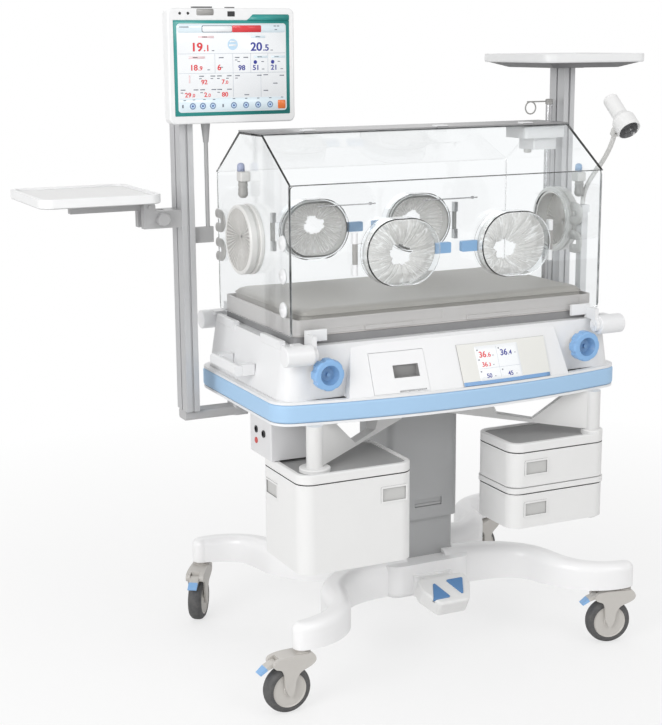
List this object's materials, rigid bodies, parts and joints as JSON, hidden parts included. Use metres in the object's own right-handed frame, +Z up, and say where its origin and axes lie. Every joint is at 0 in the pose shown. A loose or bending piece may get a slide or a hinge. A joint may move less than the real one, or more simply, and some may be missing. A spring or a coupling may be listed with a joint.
{
  "type": "infant incubator",
  "caption": "Neonatal incubator: clear hood with arm ports over a mattress deck on a lifting column, with curved caster legs, swing-out boxes, masts, shelves and a monitor.",
  "frame": {"origin": "on the floor under the lift column's axis", "axes": "+X to the right seen from the front, +Y to the back, +Z up"},
  "size_m": [1.783, 0.7894, 1.747],
  "materials": {
    "shell_white": "smooth moulded",
    "leg_white": "satin paint",
    "box_white": "fine satin",
    "lid_grey": "fine satin",
    "column_grey": "satin paint",
    "bumper_blue": "satin",
    "knob_blue": "satin",
    "pedal_blue": "satin",
    "caster_grey": "satin",
    "tyre_grey": "matte",
    "mast_metal": "anodised",
    "steel": "brushed",
    "shelf_white": "fine satin",
    "bed_grey": "satin",
    "mattress_cover": "coated cloth",
    "clear_acrylic": "polished clear",
    "film": "soft clear film",
    "strip_grey": "satin",
    "deck_grey": "satin",
    "monitor_grey": "satin",
    "display_grey": "satin",
    "module_grey": "satin"
  },
  "bodies": {
    "frame": {"base_frame": "leg_white", "pedal_box": "box_white", "column_lower": "column_grey", "lift_actuator": "steel"},
    "deck": {"column_upper": "column_grey", "support_arms": "leg_white", "deck_base": "shell_white", "bumper": "bumper_blue", "deck_shell": "shell_white", "left_lid": "lid_grey", "right_lid": "lid_grey", "display_unit": "display_grey", "sensor_module": "module_grey", "deck_fittings": "module_grey", "air_deck": "deck_grey", "air_heater": "steel", "hood": "clear_acrylic", "top_strip": "strip_grey", "end_irises": "film", "masts": "mast_metal", "mast_brackets": "strip_grey", "top_shelf": "shelf_white", "lamp_arm": "strip_grey", "air_module": "shell_white"},
    "pedal_up": {"pedal_up": "pedal_blue"},
    "pedal_down": {"pedal_down": "pedal_blue"},
    "left_box": {"left_box": "box_white"},
    "right_upper_drawer": {"right_upper_drawer": "box_white"},
    "right_lower_drawer": {"right_lower_drawer": "box_white"},
    "knob_left": {"knob_left": "knob_blue"},
    "knob_right": {"knob_right": "knob_blue"},
    "water_tank": {"water_tank": "shell_white"},
    "bed_tray": {"mattress_tray": "bed_grey"},
    "bed": {"bed_platform": "bed_grey", "mattress": "mattress_cover"},
    "fan": {"fan_impeller": "deck_grey"},
    "front_door": {"front_door": "clear_acrylic", "front_cuffs": "film"},
    "rear_door": {"rear_door": "clear_acrylic", "rear_cuffs": "film"},
    "side_shelf": {"side_shelf": "shelf_white"},
    "monitor": {"monitor": "monitor_grey"},
    "lamp_head": {"lamp_head": "strip_grey"},
    "iv_pole": {"iv_pole": "steel"},
    "fork_front_left": {"caster_fork_front_left": "caster_grey"},
    "wheel_front_left": {"caster_wheel_front_left": "tyre_grey"},
    "brake_front_left": {"caster_brake_front_left": "pedal_blue"},
    "fork_front_right": {"caster_fork_front_right": "caster_grey"},
    "wheel_front_right": {"caster_wheel_front_right": "tyre_grey"},
    "brake_front_right": {"caster_brake_front_right": "pedal_blue"},
    "fork_rear_left": {"caster_fork_rear_left": "caster_grey"},
    "wheel_rear_left": {"caster_wheel_rear_left": "tyre_grey"},
    "brake_rear_left": {"caster_brake_rear_left": "pedal_blue"},
    "fork_rear_right": {"caster_fork_rear_right": "caster_grey"},
    "wheel_rear_right": {"caster_wheel_rear_right": "tyre_grey"},
    "brake_rear_right": {"caster_brake_rear_right": "pedal_blue"},
    "port_front_left": {"port_door_front_left": "clear_acrylic"},
    "port_front_right": {"port_door_front_right": "clear_acrylic"},
    "port_rear_left": {"port_door_rear_left": "clear_acrylic"},
    "port_rear_right": {"port_door_rear_right": "clear_acrylic"}
  },
  "joints": [
    {"name": "swivel_front_left", "type": "hinge", "parent": "frame", "child": "fork_front_left", "pos_m": [-0.495, -0.36, 0.1], "axis": [0, 0, 1], "continuous": true},
    {"name": "wheel_spin_front_left", "type": "hinge", "parent": "fork_front_left", "child": "wheel_front_left", "pos_m": [-0.53997, -0.36157, 0.0625], "axis": [0.0349, -0.9994, 0], "continuous": true},
    {"name": "brake_lever_front_left", "type": "hinge", "parent": "fork_front_left", "child": "brake_front_left", "pos_m": [-0.57395, -0.36276, 0.137], "axis": [0.0349, -0.9994, 0], "range_deg": [0, 12]},
    {"name": "swivel_front_right", "type": "hinge", "parent": "frame", "child": "fork_front_right", "pos_m": [0.495, -0.36, 0.1], "axis": [0, 0, 1], "continuous": true},
    {"name": "wheel_spin_front_right", "type": "hinge", "parent": "fork_front_right", "child": "wheel_front_right", "pos_m": [0.45153, -0.34835, 0.0625], "axis": [-0.2588, -0.9659, 0], "continuous": true},
    {"name": "brake_lever_front_right", "type": "hinge", "parent": "fork_front_right", "child": "brake_front_right", "pos_m": [0.41869, -0.33955, 0.137], "axis": [-0.2588, -0.9659, 0], "range_deg": [0, 12]},
    {"name": "swivel_rear_left", "type": "hinge", "parent": "frame", "child": "fork_rear_left", "pos_m": [-0.495, 0.36, 0.1], "axis": [0, 0, 1], "continuous": true},
    {"name": "wheel_spin_rear_left", "type": "hinge", "parent": "fork_rear_left", "child": "wheel_rear_left", "pos_m": [-0.52016, 0.32269, 0.0625], "axis": [0.829, -0.5592, 0], "continuous": true},
    {"name": "brake_lever_rear_left", "type": "hinge", "parent": "fork_rear_left", "child": "brake_rear_left", "pos_m": [-0.53918, 0.29451, 0.137], "axis": [0.829, -0.5592, 0], "range_deg": [0, 12]},
    {"name": "swivel_rear_right", "type": "hinge", "parent": "frame", "child": "fork_rear_right", "pos_m": [0.495, 0.36, 0.1], "axis": [0, 0, 1], "continuous": true},
    {"name": "wheel_spin_rear_right", "type": "hinge", "parent": "fork_rear_right", "child": "wheel_rear_right", "pos_m": [0.45455, 0.34027, 0.0625], "axis": [0.4384, -0.8988, 0], "continuous": true},
    {"name": "brake_lever_rear_right", "type": "hinge", "parent": "fork_rear_right", "child": "brake_rear_right", "pos_m": [0.424, 0.32537, 0.137], "axis": [0.4384, -0.8988, 0], "range_deg": [0, 12]},
    {"name": "pedal_up_press", "type": "slide", "parent": "frame", "child": "pedal_up", "axis": [0, 0.4695, -0.8829], "range_m": [0, 0.006], "stiffness_N_per_m": 1200},
    {"name": "pedal_down_press", "type": "slide", "parent": "frame", "child": "pedal_down", "axis": [0, 0.4695, -0.8829], "range_m": [0, 0.006], "stiffness_N_per_m": 1200},
    {"name": "lift", "type": "slide", "parent": "frame", "child": "deck", "axis": [0, 0, 1], "range_m": [0, 0.2]},
    {"name": "left_box_swing", "type": "hinge", "parent": "deck", "child": "left_box", "pos_m": [-0.422, -0.288, 0.45], "axis": [0, 0, -1], "range_deg": [0, 95]},
    {"name": "right_upper_drawer_swing", "type": "hinge", "parent": "deck", "child": "right_upper_drawer", "pos_m": [0.422, -0.288, 0.45], "axis": [0, 0, 1], "range_deg": [0, 95]},
    {"name": "right_lower_drawer_swing", "type": "hinge", "parent": "deck", "child": "right_lower_drawer", "pos_m": [0.422, -0.288, 0.45], "axis": [0, 0, 1], "range_deg": [0, 95]},
    {"name": "tray_tilt", "type": "hinge", "parent": "deck", "child": "bed_tray", "pos_m": [0.446, 0, 0.9323], "axis": [0, 1, 0], "range_deg": [0, 10]},
    {"name": "bed_tilt", "type": "hinge", "parent": "bed_tray", "child": "bed", "pos_m": [-0.438, 0, 0.9366], "axis": [0, -1, 0], "range_deg": [0, 10]},
    {"name": "knob_left_turn", "type": "hinge", "parent": "deck", "child": "knob_left", "pos_m": [-0.386, -0.29, 0.844], "axis": [0, 1, 0], "range_deg": [0, 360]},
    {"name": "knob_right_turn", "type": "hinge", "parent": "deck", "child": "knob_right", "pos_m": [0.386, -0.29, 0.844], "axis": [0, 1, 0], "range_deg": [0, 360]},
    {"name": "water_tank_slide", "type": "slide", "parent": "deck", "child": "water_tank", "axis": [0, -1, 0], "range_m": [0, 0.17]},
    {"name": "fan_spin", "type": "hinge", "parent": "deck", "child": "fan", "pos_m": [0.15, 0.06, 0.84], "axis": [0, 0, 1], "continuous": true},
    {"name": "front_door_fold", "type": "hinge", "parent": "deck", "child": "front_door", "pos_m": [0, -0.29, 0.898], "axis": [1, 0, 0], "range_deg": [0, 95]},
    {"name": "rear_door_fold", "type": "hinge", "parent": "deck", "child": "rear_door", "pos_m": [0, 0.29, 0.898], "axis": [-1, 0, 0], "range_deg": [0, 95]},
    {"name": "port_front_left_swing", "type": "hinge", "parent": "front_door", "child": "port_front_left", "pos_m": [-0.291, -0.257, 1.136], "axis": [0, 0, -1], "range_deg": [0, 110]},
    {"name": "port_front_right_swing", "type": "hinge", "parent": "front_door", "child": "port_front_right", "pos_m": [0.291, -0.257, 1.136], "axis": [0, 0, 1], "range_deg": [0, 110]},
    {"name": "port_rear_left_swing", "type": "hinge", "parent": "rear_door", "child": "port_rear_left", "pos_m": [-0.291, 0.257, 1.136], "axis": [0, 0, 1], "range_deg": [0, 110]},
    {"name": "port_rear_right_swing", "type": "hinge", "parent": "rear_door", "child": "port_rear_right", "pos_m": [0.291, 0.257, 1.136], "axis": [0, 0, -1], "range_deg": [0, 110]},
    {"name": "side_shelf_fold", "type": "hinge", "parent": "deck", "child": "side_shelf", "pos_m": [-0.701, 0.1525, 1.24], "axis": [0, -1, 0], "range_deg": [0, 90]},
    {"name": "monitor_tilt", "type": "hinge", "parent": "deck", "child": "monitor", "pos_m": [-0.483, 0.124, 1.598], "axis": [1, 0, 0], "range_deg": [-15, 5]},
    {"name": "lamp_head_tilt", "type": "hinge", "parent": "deck", "child": "lamp_head", "pos_m": [0.52, -0.22079, 1.41624], "axis": [1, 0, 0], "range_deg": [-25, 25]},
    {"name": "iv_pole_slide", "type": "slide", "parent": "deck", "child": "iv_pole", "axis": [0, 0, 1], "range_m": [0, 0.085]}
  ],
  "couplings": [
    {"joint": "knob_left_turn", "follows": "tray_tilt", "ratio": 36},
    {"joint": "knob_right_turn", "follows": "bed_tilt", "ratio": 36}
  ]
}
